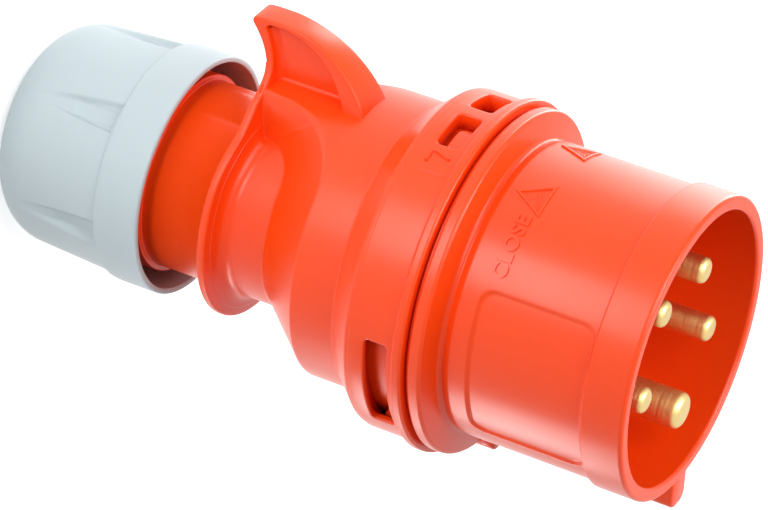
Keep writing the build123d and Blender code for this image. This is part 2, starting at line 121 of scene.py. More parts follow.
def ring_skin(outline_at, angles):
    """Return points and faces of a ring whose section at each angle is the outline given there."""
    rows = [outline_at(angle) for angle in angles]
    points = [
        (r * cos(radians(angle)), r * sin(radians(angle)), z)
        for angle, row in zip(angles, rows)
        for r, z in row
    ]
    return points, ring_faces(len(angles), len(rows[0])), rows[0]


def add_mesh(name, points, faces, material):
    """Return a smooth mesh object from points in millimetres."""
    mesh = bpy.data.meshes.new(name)
    mesh.from_pydata([Vector(point) * MM for point in points], [], list(faces))
    mesh.shade_smooth()
    mesh.materials.append(material)
    piece = bpy.data.objects.new(name, mesh)
    bpy.context.scene.collection.objects.link(piece)
    return piece


def moulding_group():
    """Return a shader group for the fine grain and uneven gloss of an injection moulding."""
    group = bpy.data.node_groups.new("moulding", "ShaderNodeTree")
    for socket, value in (("Grain size", 0.0004), ("Cloud size", 0.018)):
        entry = group.interface.new_socket(socket, in_out="INPUT", socket_type="NodeSocketFloat")
        entry.default_value = value
    for socket in ("Grain", "Cloud"):
        group.interface.new_socket(socket, in_out="OUTPUT", socket_type="NodeSocketFloat")
    nodes, links = group.nodes, group.links
    given = nodes.new("NodeGroupInput")
    result = nodes.new("NodeGroupOutput")
    place = nodes.new("ShaderNodeTexCoord")
    for socket, detail in (("Grain", 2.0), ("Cloud", 3.0)):
        density = nodes.new("ShaderNodeMath")
        density.operation = "DIVIDE"
        density.inputs[0].default_value = 1.0
        links.new(given.outputs[socket + " size"], density.inputs[1])
        noise = nodes.new("ShaderNodeTexNoise")
        noise.inputs["Detail"].default_value = detail
        links.new(place.outputs["Object"], noise.inputs["Vector"])
        links.new(density.outputs[0], noise.inputs["Scale"])
        links.new(noise.outputs["Fac"], result.inputs[socket])
    return group


def tinted(name, pale, deep):
    """Return a material whose colour drifts over the piece, and its moulding group's outputs."""
    material = bpy.data.materials.new(name)
    material.use_nodes = True
    nodes, links = material.node_tree.nodes, material.node_tree.links
    surface = nodes.new("ShaderNodeGroup")
    surface.node_tree = moulding
    tint = nodes.new("ShaderNodeMix")
    tint.data_type = "RGBA"
    tint.inputs["A"].default_value = (*deep, 1)
    tint.inputs["B"].default_value = (*pale, 1)
    links.new(surface.outputs["Cloud"], tint.inputs["Factor"])
    links.new(tint.outputs["Result"], nodes["Principled BSDF"].inputs["Base Color"])
    return material, surface.outputs


def add_finish(material, gloss_from, glossy, dull, bump_from, depth):
    """Drive a material's roughness between two values, and its bump, from other nodes."""
    nodes, links = material.node_tree.nodes, material.node_tree.links
    shader = nodes["Principled BSDF"]
    gloss = nodes.new("ShaderNodeMapRange")
    gloss.inputs["To Min"].default_value = glossy
    gloss.inputs["To Max"].default_value = dull
    bump = nodes.new("ShaderNodeBump")
    bump.inputs["Distance"].default_value = depth
    links.new(gloss_from, gloss.inputs["Value"])
    links.new(bump_from, bump.inputs["Height"])
    links.new(gloss.outputs["Result"], shader.inputs["Roughness"])
    links.new(bump.outputs["Normal"], shader.inputs["Normal"])


def moulded_plastic(name, pale, deep, glossy, dull, grain_depth, specular):
    """Return a plastic whose colour and gloss drift a little over the piece, with a fine grain."""
    material, surface = tinted(name, pale, deep)
    shader = material.node_tree.nodes["Principled BSDF"]
    shader.inputs["Specular IOR Level"].default_value = specular
    add_finish(material, surface["Cloud"], glossy, dull, surface["Grain"], grain_depth)
    return material


moulding = moulding_group()
red_plastic = moulded_plastic(
    "red_plastic", (0.92, 0.065, 0.003), (0.88, 0.056, 0.002), 0.27, 0.33, 0.00001, 0.38
)

rear_low, rear_high = (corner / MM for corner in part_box("rear_housing"))
neck_end, split = rear_low.z, rear_high.z
lip_radius, fin_height = rear_high.x, -rear_low.y
fin_angle = -90
neck_radius, body_radius, collar_radius = 18.1, 27.6, 32.5
guard_radius, guard_low, guard_rim, guard_rise = 22.8, 47.4, 1.7, 0.9
waist_end, ramp_end, shoulder_start, shoulder_end = 58.8, 69.9, 78.6, 83.7
saddle_start, saddle_foot = 52.6, 51.8
saddle_half, saddle_clear, ridge_end, saddle_end = 10.8, 18.5, 46, 48
groove_radius, collar_bore, body_bore, neck_bore, seal_bore = 31.2, 29.75, 25.6, 14.0, 15.6
collar_step, body_front, body_rear, neck_front, seal_seat = 82.6, 78.8, 69.5, 57.5, 29.6
thread_crest, thread_root, thread_pitch = 19.2, 18.35, 3.0
thread_start, thread_end = neck_end + 0.5, 33.0


def neck_thread(angle, z):
    """Return the radius of the moulded thread on the neck, which ends in a plain ring."""
    wave = cos(2 * pi * (z / thread_pitch - angle / 360))
    height = min(max(0.5 + 0.95 * wave, 0.0), 1.0) * smoothstep(thread_start, thread_start + 1.5, z)
    height += (1 - height) * smoothstep(thread_end - 2.4, thread_end - 1.4, z)
    return thread_root + (thread_crest - thread_root) * height


window_low, window_high, window_corner, window_edge = 87.6, 92.2, 0.9, 0.3
window_levels = [window_low + offset for offset in (-0.3, 0.0, 0.3, 0.6, 0.9)]
window_levels += [89.2, 89.9, 90.6]
window_levels += [window_high + offset for offset in (-0.9, -0.6, -0.3, 0.0, 0.3)]
thread_steps = round((thread_end - 0.4 - thread_start) / 0.3)
thread_levels = [thread_start + 0.3 * step for step in range(thread_steps)]


def sweep(start, end, value):
    """Return a rise from 0 to 1 along a quarter of an ellipse, steep first."""
    part = min(max((end - value) / (end - start), 0.0), 1.0)
    return sqrt(1 - part * part)


def guard_rear(out):
    """Return the height of the guard's rear face at a distance out towards the fin."""
    return guard_low + smoothstep(12, 24.5, out)


def rear_outline(angle):
    """Return the rear housing's section at an angle: the ramp moves back under the fin."""
    away = abs((angle - fin_angle + 180) % 360 - 180)
    clear = smoothstep(saddle_half, saddle_clear, away)
    foot_radius = body_radius - (body_radius - neck_radius) * clear
    foot = saddle_foot + (waist_end - saddle_foot) * sweep(saddle_clear, saddle_end, away)
    rim = guard_radius + 4.9 * (1 - smoothstep(8, 30, away))
    rim_z = guard_rear(rim * cos(radians(away))) + guard_rim
    slope = guard_rise / (rim - neck_radius)
    fillet = min(max(rim - foot_radius - 0.6, 0.3), 2.7)
    plate = rim_z + slope * (rim - foot_radius)
    ridge = saddle_start + (ramp_end - saddle_start) * sweep(saddle_half, ridge_end, away)
    ridge_round = 0.3 + 3.1 * smoothstep(saddle_half, 14, away)
    ridge_round -= 2.7 * smoothstep(15, saddle_end, away)
    corners = [(seal_bore, neck_end, 0.3, 2), (thread_root, neck_end, 0.3, 2)]
    corners += [(neck_thread(angle, z), z, 0, 0) for z in thread_levels]
    corners += [
        (thread_crest, thread_end, 0.25, 3),
        (neck_radius, thread_end, 0.2, 2),
        (neck_radius, guard_low + 0.8, 0, 0),
        (foot_radius + fillet + 0.25, plate - slope * fillet - 0.7, 0, 0),
        (foot_radius + fillet + 0.25, plate - slope * fillet - 0.08, 0, 0),
        (foot_radius + fillet, plate - slope * fillet - 0.02, 0, 0),
        (foot_radius, plate + 0.01, 0.9 * fillet, 6),
        (foot_radius, foot, 1.5, 5),
        (body_radius, ridge, ridge_round, 8),
        (body_radius, shoulder_start, 0.8, 4),
        (collar_radius - 0.2, shoulder_end, 2.5, 6),
        (collar_radius - 0.18, shoulder_end + 0.75, 0.1, 2),
        (collar_radius, shoulder_end + 0.9, 0.15, 2),
    ]
    corners += [(collar_radius, z, 0, 0) for z in window_levels]
    corners += [
        (collar_radius, split - 2.2, 0.3, 3),
        (lip_radius, split - 1.7, 0.3, 3),
        (lip_radius, split, 0.5, 3),
        (collar_bore, split, 0.4, 3),
        (collar_bore, window_high + 0.6, 0, 0),
        (groove_radius, window_high + 0.6, 0, 0),
    ]
    corners += [(groove_radius, z, 0, 0) for z in reversed(window_levels)]
    corners += [
        (groove_radius, window_low - 0.7, 0, 0),
        (collar_bore, window_low - 0.7, 0, 0),
        (collar_bore, collar_step, 0.5, 2),
        (body_bore, body_front, 1.0, 2),
        (body_bore, body_rear, 2.0, 3),
        (neck_bore, neck_front, 1.0, 3),
        (neck_bore, seal_seat, 0, 0),
        (seal_bore, seal_seat, 0, 0),
    ]
    return rounded(corners)


def cut_window(points, faces, angles, outline, centre, half_span, floor, lug):
    """Cut a window with round corners through the collar.

    Its wall may run on down to a floor radius, but not on the two sides where a lug stands.
    """
    width = len(outline)
    big_half = half_span + degrees(window_edge / collar_radius)

    def nearest(angle):
        return min(range(len(angles)), key=lambda i: abs((angles[i] - angle + 180) % 360 - 180))

    first, last = nearest(centre - big_half), nearest(centre + big_half)
    turns = [first]
    while turns[-1] != last:
        turns.append((turns[-1] + 1) % len(angles))
    levels = [z for z in window_levels if window_low - 0.31 < z < window_high + 0.31]
    outer = outline.index((collar_radius, levels[0]))
    inner = outline.index((groove_radius, levels[-1]))
    top = len(levels) - 1
    for turn in turns[:-1]:
        for level in range(top):
            del faces[turn, outer + level]
            del faces[turn, inner + level]
    loop = [(turn, 0) for turn in turns[:-1]]
    loop += [(last, level) for level in range(top)]
    loop += [(turn, top) for turn in reversed(turns[1:])]
    loop += [(first, level) for level in range(top, 0, -1)]
    half_height = (window_high - window_low) / 2 + window_edge
    half_width = radians(big_half) * collar_radius
    corner = window_corner + window_edge
    middle = (window_low + window_high) / 2
    edges, normals = [], []
    for turn, level in loop:
        u = radians((angles[turn] - centre + 180) % 360 - 180) * collar_radius
        w = levels[level] - middle
        past_u, past_w = abs(u) - half_width + corner, abs(w) - half_height + corner
        side_u, side_w = (1 if u > 0 else -1), (1 if w > 0 else -1)
        if past_u > 1e-6 and past_w > 1e-6:
            along = past_u if past_w > corner - 1e-6 else 2 * corner - past_w
            bend = along / corner * pi / 4
            normals.append((side_u * sin(bend), side_w * cos(bend)))
            edges.append(
                (
                    side_u * (half_width - corner + corner * sin(bend)),
                    side_w * (half_height - corner + corner * cos(bend)),
                )
            )
        else:
            normals.append((side_u, 0) if past_u > corner - 1e-6 else (0, side_w))
            edges.append((u, w))

    def wall_point(n, inset, r):
        """Return a point of the wall, which stops at the groove where a lug stands."""
        u, w = edges[n]
        if lug and u > corner - half_width + 0.01 and w > corner - half_height - 0.01:
            r = max(r, groove_radius - 0.02)
        angle = radians(centre) + (u - inset * normals[n][0]) / collar_radius
        return r * cos(angle), r * sin(angle), middle + w - inset * normals[n][1]

    rings = [[turn * width + outer + level for turn, level in loop]]
    for n, index in enumerate(rings[0]):
        points[index] = wall_point(n, 0, collar_radius)
    stages = [
        (window_edge * sin(bend), collar_radius - window_edge * (1 - cos(bend)))
        for bend in (0.5, 1.05, pi / 2)
    ]
    stages.append((window_edge, groove_radius + 0.2))
    if floor:
        stages += [(window_edge, floor), (0, floor)]
    for inset, r in stages:
        rings.append(list(range(len(points), len(points) + len(loop))))
        points += [wall_point(n, inset, r) for n in range(len(loop))]
    rings.append([turn * width + inner + top - level for turn, level in loop])
    for n, index in enumerate(rings[-1]):
        points[index] = wall_point(n, 0, groove_radius)
    for depth in range(len(rings) - 1):
        for n in range(len(loop)):
            after = (n + 1) % len(loop)
            faces["wall", centre, depth, n] = (
                rings[depth][n],
                rings[depth][after],
                rings[depth + 1][after],
                rings[depth + 1][n],
            )


window_floor = 29.45
windows = [
    (-103.0, 7.7, window_floor, False),
    (-81.6, 8.1, window_floor, True),
    (14.7, 18.9, None, False),
    (141.3, 18.9, None, False),
]
window_angles = []
for centre, half_span, _, _ in windows:
    for step in range(5):
        inward = half_span + degrees((window_edge - 0.3 * step) / collar_radius)
        window_angles += [centre - inward, centre + inward]
saddle_angles = []
for step in range(33):
    away = saddle_half + 0.4 * step
    saddle_angles += [fin_angle - away, fin_angle + away]
rear_angles = ring_angles(1.0, window_angles + saddle_angles)
rear_points, rear_faces, first_outline = ring_skin(rear_outline, rear_angles)
for window in windows:
    cut_window(rear_points, rear_faces, rear_angles, first_outline, *window)
rear_shell = add_mesh("rear_shell", rear_points, rear_faces.values(), red_plastic)
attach(rear_shell, "handle")
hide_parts("rear_housing")

# Guard and hand fin: moulded on the rear housing. A thin disc keeps the hand off the nut and runs
# up into the fin, a curved bar on a thin web that the hand hooks behind.


def arc_through(start, middle, end, steps):
    """Return points on the arc from start through middle to end."""
    a, b, c = Vector(start), Vector(middle), Vector(end)
    cross = 2 * ((b.x - a.x) * (c.y - a.y) - (b.y - a.y) * (c.x - a.x))
    ab, ac = (b - a).length_squared, (c - a).length_squared
    centre = a + Vector(
        (
            ((c.y - a.y) * ab - (b.y - a.y) * ac) / cross,
            ((b.x - a.x) * ac - (c.x - a.x) * ab) / cross,
        )
    )
    turn = (a - centre).angle_signed(c - centre)
    radius = (a - centre).length
    first = atan2(a.y - centre.y, a.x - centre.x)
    return [
        (
            centre.x + radius * cos(first - turn * step / steps),
            centre.y + radius * sin(first - turn * step / steps),
        )
        for step in range(steps + 1)
    ]


fin_half, fin_round, web_half, fin_taper = 2.75, 0.4, 0.9, 0.13
outer_path = arc_through((24.5, 48.4), (32.4, 48.9), (38.5, 46.1), 16)
outer_path += [(38.9, 45.95), (39.3, 45.95), (39.65, 46.15), (39.9, 46.6)]
outer_path += [(40.06, 48.0), (fin_height, 50.0)]
outer_path += arc_through((fin_height - 0.02, 51.7), (37.3, 61.45), (24.5, 71.3), 26)
inner_path = arc_through((24.5, 50.2), (32.4, 50.6), (38.0, 49.0), 16)
inner_path += [(38.3, 49.0), (38.6, 49.1), (38.8, 49.3), (39.0, 49.6), (39.0, 50.2), (39.0, 51.2)]
inner_path += arc_through((38.95, 53.4), (34.0, 61.8), (24.5, 66.6), 26)


def rounded_bar(outer, inner, half):
    """Return the section of the fin's bar from an outer to an inner point, its edges rounded."""
    start, across = Vector(outer), Vector(inner) - Vector(outer)
    depth = across.length
    across.normalize()
    section = []
    for side, level, first in ((1, 0, 0), (1, 1, 1), (-1, 1, 2), (-1, 0, 3)):
        x = side * (half - fin_round)
        t = fin_round if level == 0 else depth - fin_round
        for step in range(4):
            bend = (first - 1 + step / 3) * pi / 2
            place = start + across * (t + fin_round * sin(bend))
            section.append((x + fin_round * cos(bend), -place.x, place.y))
    return section


def tube_faces(rows, ring):
    """Return the quads of an open tube of closed sections, turned the other way."""
    faces = ring_faces(rows, ring)
    return [face[:1] + face[:0:-1] for (row, _), face in faces.items() if row < rows - 1]


def bar_faces(rows, ring):
    """Return the faces of a tube with both its ends shut."""
    ends = [tuple(reversed(range(ring))), tuple(range((rows - 1) * ring, rows * ring))]
    return tube_faces(rows, ring) + ends


fin_points = []
for outer, inner in zip(outer_path, inner_path):
    half = fin_half + (fin_taper * max(39.5 - outer[0], 0) if outer[1] > 50 else 0)
    section = rounded_bar(outer, inner, half)
    fin_points += section
fin_faces = bar_faces(len(outer_path), len(section))

web_outline = [((a[0] + b[0]) / 2, (a[1] + b[1]) / 2) for a, b in zip(outer_path, inner_path)]
first = len(fin_points)
count = len(web_outline)
for side in (1, -1):
    fin_points += [(side * web_half, -h, z) for h, z in web_outline]
fin_faces.append(tuple(range(first, first + count)))
fin_faces.append(tuple(reversed(range(first + count, first + 2 * count))))
for n in range(count):
    after = (n + 1) % count
    fin_faces.append((first + after, first + n, first + count + n, first + count + after))

web_fillet, wall_fillet = 0.9, 1.6
fillet_steps = 6
saddle_line = [((sqrt(body_radius**2 - 4) - 0.05), 50.6 + 0.7 * step) for step in range(22)]
wall_line = [(h, z - 0.05) for h, z in inner_path[2:17]]
for side in (1, -1):
    for line, radius, rise in ((saddle_line, web_fillet, (1, 0)), (wall_line, wall_fillet, (0, 1))):
        first = len(fin_points)
        for h, z in line:
            for step in range(fillet_steps + 1):
                bend = step / fillet_steps * pi / 2
                lift = radius * (1 - cos(bend))
                x = web_half - 0.05 + radius * (1 - sin(bend))
                fin_points.append((side * x, -h - lift * rise[0], z + lift * rise[1]))
        for k in range(len(line) - 1):
            for step in range(fillet_steps):
                corner = first + k * (fillet_steps + 1) + step
                quad = (corner, corner + 1, corner + fillet_steps + 2, corner + fillet_steps + 1)
                fin_faces.append(quad if (side > 0) == (rise[0] > 0) else tuple(reversed(quad)))

rear_round, front_round, flare_angle, guard_core = 0.5, 0.5, 30, 17.0
flare = radians(flare_angle)
flare_start = Vector((guard_radius * sin(flare), -guard_radius * cos(flare)))
legs = (flare_start, Vector((8.5, -22.6)), Vector((3.2, -29.5)), Vector((fin_half, -31.5)))
guard_edge = []
for step in range(17):
    t = step / 16
    weights = ((1 - t) ** 3, 3 * t * (1 - t) ** 2, 3 * t * t * (1 - t), t**3)
    guard_edge.append(sum((leg * weight for leg, weight in zip(legs, weights)), Vector((0, 0))))
round_part = [radians(angle + fin_angle) for angle in range(360 - flare_angle, flare_angle, -3)]
guard_edge = (
    [
        Vector((guard_radius * cos(angle), guard_radius * sin(angle)))
        for angle in reversed(round_part)
    ]
    + [Vector((-point.x, point.y)) for point in guard_edge]
    + list(reversed(guard_edge))
)
first = len(fin_points)
for n, point in enumerate(guard_edge):
    outward = guard_edge[n - 1] - guard_edge[(n + 1) % len(guard_edge)]
    outward = Vector((-outward.y, outward.x)).normalized()
    core = point.normalized() * guard_core
    low = guard_rear(-point.y)
    for (h, z), (next_h, next_z) in zip(outer_path[:16], outer_path[1:17]):
        if h <= -point.y < next_h:
            low = z + (next_z - z) * (-point.y - h) / (next_h - h) + 0.04
    high = low + guard_rim - 0.1 * smoothstep(24, 31, -point.y)
    row = [(core.x, core.y, guard_low)]
    edges = ((low + rear_round, rear_round, -1), (high - front_round, front_round, 0))
    for middle, radius, start in edges:
        for bend in range(5):
            turn = (start + bend / 4) * pi / 2
            edge = point - outward * (radius * (1 - cos(turn)))
            row.append((edge.x, edge.y, middle + radius * sin(turn)))
    rise = guard_rise * (point.length - guard_core) / (point.length - neck_radius)
    row.append((core.x, core.y, high + rise))
    fin_points += row
fin_faces += ring_faces(len(guard_edge), len(row), first).values()
hand_fin = add_mesh("hand_fin", fin_points, fin_faces, red_plastic)
hand_fin.data.set_sharp_from_angle(angle=radians(35))
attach(hand_fin, "handle")

# Gland nut: a pale grey cap, moulded, that screws on the neck and squeezes the cable seal. Six
# scooped channels give the fingers a grip, and a plain band stiffens its mouth.
grey_plastic = moulded_plastic(
    "grey_plastic", (0.51, 0.60, 0.63), (0.47, 0.56, 0.59), 0.38, 0.48, 0.00001, 0.36
)
nut_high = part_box("gland_nut")[1] / MM
nut_length, band_radius = nut_high.z, nut_high.x
cable_hole, nut_mouth, nut_bore = 9.0, 22.1, 19.6
grip_angles = [-49 + 60 * n for n in range(6)]
nut_front, nut_rear, band_start, end_flat, end_round = 22.5, 21.5, 25.6, 12.0, 9.5
grip_depth, grip_half_width, grip_start = 1.0, 3.3, 6.5
pad_depth, pad_half_width, pad_start = 0.3, 1.6, 16.5


def grip_sink(angle, z):
    """Return how deep a grip channel is: a leaf-shaped scoop with a flat pad near the band."""
    away = min(abs((angle - grip + 180) % 360 - 180) for grip in grip_angles)
    across = radians(away) * nut_front
    along = min(max((z - grip_start) / (band_start - grip_start), 0.0), 1.0)
    half_width = grip_half_width * sqrt(along)
    scoop = grip_depth * smoothstep(0.0, 0.6, along)
    sink = scoop * (1 - smoothstep(half_width - 1.0, half_width, across))
    pad = 1 - smoothstep(pad_half_width - 0.2, pad_half_width + 0.2, across)
    return sink + pad_depth * pad * smoothstep(pad_start - 0.4, pad_start + 0.4, z)


side_slope = (nut_front - nut_rear) / (band_start - end_round)
side_levels = [9.2 + 0.75 * step for step in range(21)] + [24.9, 25.25, 25.5]
bore_levels = [22.9 - 0.3 * step for step in range(44)]


def nut_outline(angle):
    """Return the nut's section at an angle, with the grip channels in its side."""
    side = []
    last_bend = pi / 2 - side_slope
    for step in range(15):
        bend = step / 14 * last_bend
        side.append((end_flat + end_round * sin(bend), end_round * (1 - cos(bend))))
    start_r, start_z = side[-1]
    side += [(start_r + side_slope * (z - start_z), z) for z in side_levels]
    corners = [(cable_hole, 0, 0.6, 3)] + [(r - grip_sink(angle, z), z, 0, 0) for r, z in side]
    corners += [
        (corners[-1][0], band_start, 0.1, 2),
        (band_radius - 0.15, band_start + 0.2, 0.25, 3),
        (band_radius, band_start + 1.5, 0.5, 2),
        (band_radius, nut_length, 0.7, 4),
        (nut_mouth, nut_length, 0.3, 3),
        (nut_mouth, 25.0, 0.5, 2),
        (nut_bore, 23.4, 0, 0),
    ]
    for z in bore_levels:
        wave = -cos(2 * pi * (z / thread_pitch - angle / 360))
        height = min(max(0.5 + 0.95 * wave, 0.0), 1.0)
        fade = smoothstep(9.8, 11.3, z) * (1 - smoothstep(21.5, 23.0, z))
        corners.append((nut_bore - 0.75 * height * fade, z, 0, 0))
    corners += [(18.6, 9.2, 0, 0), (10.4, 3.9, 0, 0), (cable_hole, 3.2, 0, 0)]
    return rounded(corners)


nut_points, nut_faces, _ = ring_skin(nut_outline, ring_angles(0.75))
nut_shell = add_mesh("nut_shell", nut_points, nut_faces.values(), grey_plastic)
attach(nut_shell, "nut")
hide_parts("gland_nut")

# Front housing: the red shroud round the pins, with a thick band at its mouth, a sunk panel on each
# side, the twist flange, and the skirt whose lugs lock in the collar.
front_low, front_high = (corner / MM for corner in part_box("front_housing"))
skirt_end, mouth = front_low.z, front_high.z
flange_radius = front_high.x
flange_low, flange_high = 96.5, 99.0
shroud_radius, shroud_foot, mouth_band, mouth_radius = 27.9, 27.3, 28.75, 26.0
band_foot, band_top = 128.5, 128.85
skirt_bore, skirt_radius, ledge_radius, ledge_low, well_floor = 26.7, 29.3, 22.5, 93.0, 98.0
panel_low, panel_high, panel_half, panel_depth, panel_corner = 105.7, 128.45, 33.0, 0.5, 3.0
panel_middle = (panel_low + panel_high) / 2
panel_levels = [104.2, 104.9] + [105.3 + 0.2 * step for step in range(5)]
panel_levels += [106.5 + 0.35 * step for step in range(8)]
panel_levels += [110.5, 112.5, 114.5, 117.0, 119.5, 122.0, 124.5]
panel_levels += [125.2 + 0.35 * step for step in range(8)]
panel_levels += [127.85 + 0.15 * step for step in range(5)]


def panel_sink(angle, z):
    """Return how deep the side panel is at a place on the shroud."""
    away = abs((angle + 90) % 180 - 90)
    past_u = radians(away - panel_half) * shroud_radius + panel_corner
    past_w = abs(z - panel_middle) - (panel_high - panel_low) / 2 + panel_corner
    gap = hypot(max(past_u, 0), max(past_w, 0)) - panel_corner
    return panel_depth * (1 - smoothstep(-0.45, 0.05, gap))


def front_outline(angle):
    """Return the front housing's section at an angle."""
    corners = [
        (skirt_bore, skirt_end, 0.3, 2),
        (skirt_radius, skirt_end, 0.3, 2),
        (skirt_radius, split + 0.15, 0.2, 2),
        (flange_radius - 1.1, split + 0.15, 0.2, 2),
        (flange_radius - 1.1, flange_low, 0.2, 2),
        (flange_radius, flange_low, 0.5, 3),
        (flange_radius, flange_high, 0.7, 4),
        (shroud_foot, flange_high + 1.2, 1.4, 5),
        (shroud_radius, flange_high + 3.2, 1.5, 3),
    ]
    corners += [(shroud_radius - panel_sink(angle, z), z, 0, 0) for z in panel_levels]
    corners += [
        (shroud_radius, band_foot, 0.1, 2),
        (mouth_band, band_top, 0.3, 3),
        (mouth_band, mouth, 0.7, 4),
        (mouth_radius, mouth, 0.6, 4),
        (mouth_radius, well_floor, 0.6, 3),
        (ledge_radius, well_floor, 0.2, 2),
        (ledge_radius, ledge_low, 0, 0),
        (skirt_bore, ledge_low, 0, 0),
    ]
    return rounded(corners)


panel_angles = []
for side in (0, 180):
    for edge in (-panel_half, panel_half):
        inward = -1 if edge > 0 else 1
        panel_angles += [side + edge + inward * (0.45 * step - 0.9) for step in range(18)]
front_points, front_faces, _ = ring_skin(front_outline, ring_angles(1.0, panel_angles))
front_shell = add_mesh("front_shell", front_points, front_faces.values(), red_plastic)
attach(front_shell, "front")
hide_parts("front_housing")

# Guide key and bayonet lugs: moulded on the front housing. The key lets the plug into its socket
# one way only; the three lugs run in the collar's grooves.
key_half, key_root, key_height, nose_height, key_corner = 2.8, 26.6, 34.4, 36.0, 2.0


def key_section(low, high, height):
    """Return points and faces of a bar along the shroud with rounded outer edges and ends."""
    outline = [(-key_half, key_root), (key_half, key_root)]
    flat, crest = key_half - key_corner, height - key_corner
    for x, first in ((flat, 0), (-flat, 90)):
        for step in range(6):
            bend = radians(first + step * 18)
            outline.append((x + key_corner * cos(bend), crest + key_corner * sin(bend)))
    ends = [(0, 0.35), (0.1, 0.15), (0.35, 0.0)]
    levels = [(low + rise, inset) for rise, inset in ends]
    levels += [(high - rise, inset) for rise, inset in reversed(ends)]
    points = []
    for z, inset in levels:
        points += [(x * (1 - inset / key_half), y - inset * (y > key_root), z) for x, y in outline]
    return points, bar_faces(len(levels), len(outline))


def join(points, faces, more_points, more_faces):
    """Add a shape to the points and faces of a piece."""
    faces += [tuple(index + len(points) for index in face) for face in more_faces]
    points += more_points


key_points, key_faces = key_section(flange_low, mouth - 0.03, key_height)
join(key_points, key_faces, *key_section(flange_low, flange_high + 1.6, nose_height))
lug_low, lug_height, lug_span, lug_middle, lug_steps = 88.9, 3.5, 16.0, -78.2, 10
lug_root, lug_radius = 28.5, 31.0
for n in range(3):
    middle = lug_middle + 120 * n
    lug_points = []
    for step in range(lug_steps + 1):
        angle = radians(middle + lug_span * (step / lug_steps - 0.5))
        inset = {0: 0.9, 1: 0.2}.get(min(step, lug_steps - step), 0.0)
        foot, head = lug_low + inset, lug_low + lug_height - inset
        top = lug_radius - 0.4 * inset
        for r, z in (
            (lug_root, foot),
            (top - 0.3, foot),
            (top, foot + 0.3),
            (top, head - 0.3),
            (top - 0.3, head),
            (lug_root, head),
        ):
            lug_points.append((r * cos(angle), r * sin(angle), z))
    lug_rings = ring_faces(lug_steps + 1, 6).items()
    lug_faces = [face for (step, _), face in lug_rings if step < lug_steps]
    lug_faces += [tuple(range(6)), tuple(lug_steps * 6 + side for side in reversed(range(6)))]
    join(key_points, key_faces, lug_points, lug_faces)
front_key = add_mesh("front_key", key_points, key_faces, red_plastic)
front_key.data.set_sharp_from_angle(angle=radians(35))
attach(front_key, "front")

# Terminal block, seals, clamp cage and screws: they sit inside. The block is moulded in the same
# red plastic, the seals are black rubber, the cage is grey plastic and the screws are plated steel.


def rubber(name, colour):
    """Return matt rubber with a bloom of dust."""
    material, _ = tinted(name, [value * 1.6 + 0.01 for value in colour], colour)
    shader = material.node_tree.nodes["Principled BSDF"]
    shader.inputs["Roughness"].default_value = 0.75
    return material


def turned_metal(name, pale, deep):
    """Return polished metal with the faint rings that a lathe leaves round Z."""
    material, _ = tinted(name, pale, deep)
    nodes, links = material.node_tree.nodes, material.node_tree.links
    nodes["Principled BSDF"].inputs["Metallic"].default_value = 1.0
    place = nodes.new("ShaderNodeTexCoord")
    height = nodes.new("ShaderNodeSeparateXYZ")
    rings = nodes.new("ShaderNodeTexNoise")
    rings.noise_dimensions = "1D"
    rings.inputs["Scale"].default_value = 14000.0
    links.new(place.outputs["Object"], height.inputs["Vector"])
    links.new(height.outputs["Z"], rings.inputs["W"])
    add_finish(material, rings.outputs["Fac"], 0.26, 0.40, rings.outputs["Fac"], 0.00004)
    return material


black_rubber = rubber("black_rubber", (0.02, 0.02, 0.02))
steel = turned_metal("zinc_steel", (0.70, 0.72, 0.74), (0.60, 0.61, 0.63))
for node, material in (
    ("terminal_block", red_plastic),
    ("housing_seal", black_rubber),
    ("cable_seal", black_rubber),
    ("clamp_cage", grey_plastic),
    ("terminal_screws", steel),
    ("fixing_screws", steel),
):
    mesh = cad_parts[node].data
    mesh.materials.clear()
    mesh.materials.append(material)

# Pins: turned brass, four alike and a thicker earth pin beside the key, each with a tubular
# terminal behind the block. One tree of nodes makes them all on the pin circle.


def open_tree(name, inputs):
    """Return a node tree with named inputs and one output, and the inputs as it gives them."""
    tree = bpy.data.node_groups.new(name, "GeometryNodeTree")
    for socket, kind in inputs.items():
        tree.interface.new_socket(socket, in_out="INPUT", socket_type="NodeSocket" + kind)
    tree.interface.new_socket("Geometry", in_out="OUTPUT", socket_type="NodeSocketGeometry")
    return tree, tree.nodes.new("NodeGroupInput").outputs


def close_tree(tree, instances, material):
    """End a node tree: the instances are made real and given their material."""
    nodes, links = tree.nodes, tree.links
    real = nodes.new("GeometryNodeRealizeInstances")
    paint = nodes.new("GeometryNodeSetMaterial")
    result = nodes.new("NodeGroupOutput")
    links.new(instances, real.inputs["Geometry"])
    links.new(real.outputs["Geometry"], paint.inputs["Geometry"])
    links.new(material, paint.inputs["Material"])
    links.new(paint.outputs["Geometry"], result.inputs["Geometry"])


